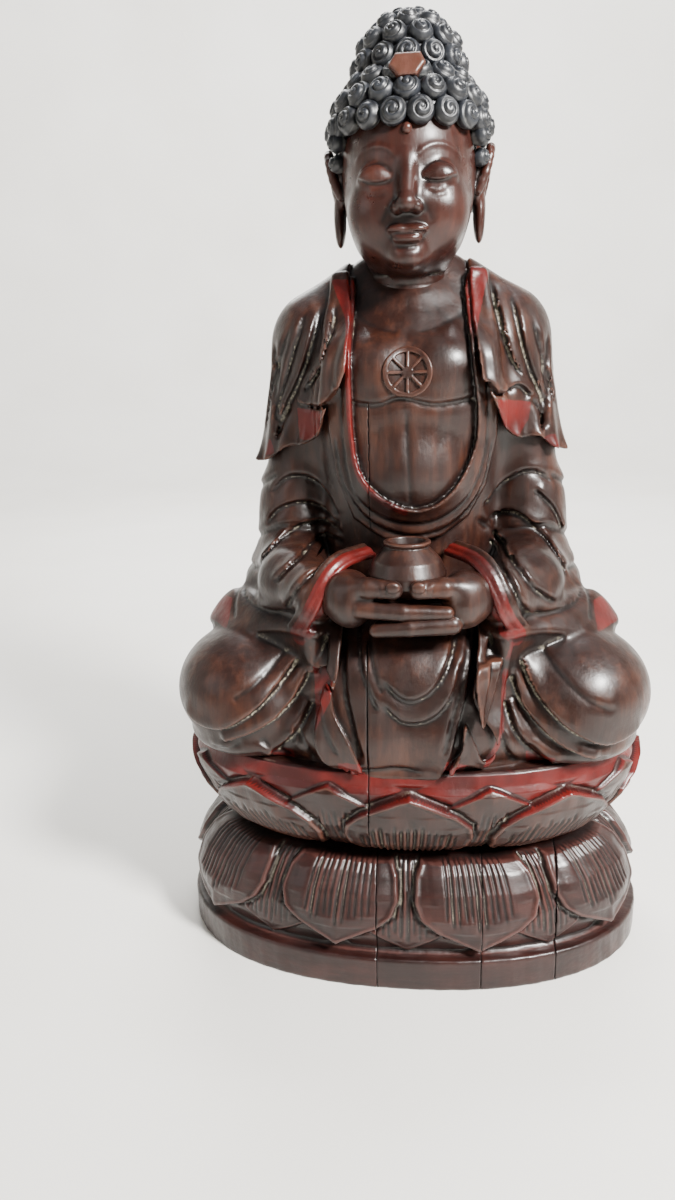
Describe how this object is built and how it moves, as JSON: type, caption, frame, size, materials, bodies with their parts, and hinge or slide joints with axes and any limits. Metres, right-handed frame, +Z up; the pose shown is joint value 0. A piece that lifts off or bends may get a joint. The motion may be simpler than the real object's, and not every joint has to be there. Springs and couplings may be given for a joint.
{
  "type": "seated buddha statue",
  "caption": "Carved and stained wooden seated figure holding an alms jar, on a lotus seat that lifts off a lotus base by a wooden peg.",
  "frame": {"origin": "under the middle of the base, on the surface it stands on", "axes": "+Z up, the figure looks along -Y, its right side is -X"},
  "size_m": [0.3281, 0.212, 0.6031],
  "materials": {
    "dark_stained_wood": "satin lacquer, worn",
    "lotus_seat_wood": "satin lacquer with red rim, worn",
    "red_brown_wood": "satin lacquer",
    "black_hair_paint": "satin black paint",
    "red_lacquer": "satin red lacquer",
    "bare_wood": "bare"
  },
  "bodies": {
    "base": {"base_board_1": "dark_stained_wood", "base_board_2": "dark_stained_wood", "base_board_3": "dark_stained_wood", "base_board_4": "dark_stained_wood", "base_dowels": "bare_wood"},
    "figure": {"lap_board_right": "dark_stained_wood", "lap_board_left": "dark_stained_wood", "knee_right": "dark_stained_wood", "knee_left": "dark_stained_wood", "torso_board_right": "dark_stained_wood", "torso_board_left": "dark_stained_wood", "upper_arm_right": "dark_stained_wood", "upper_arm_left": "dark_stained_wood", "sleeve_right": "dark_stained_wood", "sleeve_left": "dark_stained_wood", "hand_right": "dark_stained_wood", "hand_left": "dark_stained_wood", "alms_jar": "dark_stained_wood", "seat_board_right": "lotus_seat_wood", "seat_board_left": "lotus_seat_wood", "seat_dowels": "bare_wood", "seat_peg": "bare_wood", "torso_dowels": "bare_wood", "arm_dowels": "bare_wood", "wrist_dowels": "bare_wood", "hair_cap": "black_hair_paint", "hair_curls": "black_hair_paint", "hair_jewel": "red_lacquer", "head": "red_brown_wood", "forehead_bead": "red_brown_wood", "chest_wheel": "red_brown_wood"}
  },
  "joints": [
    {"name": "figure_lift", "type": "slide", "parent": "base", "child": "figure", "axis": [0, 0, 1], "range_m": [0, 0.026]}
  ]
}
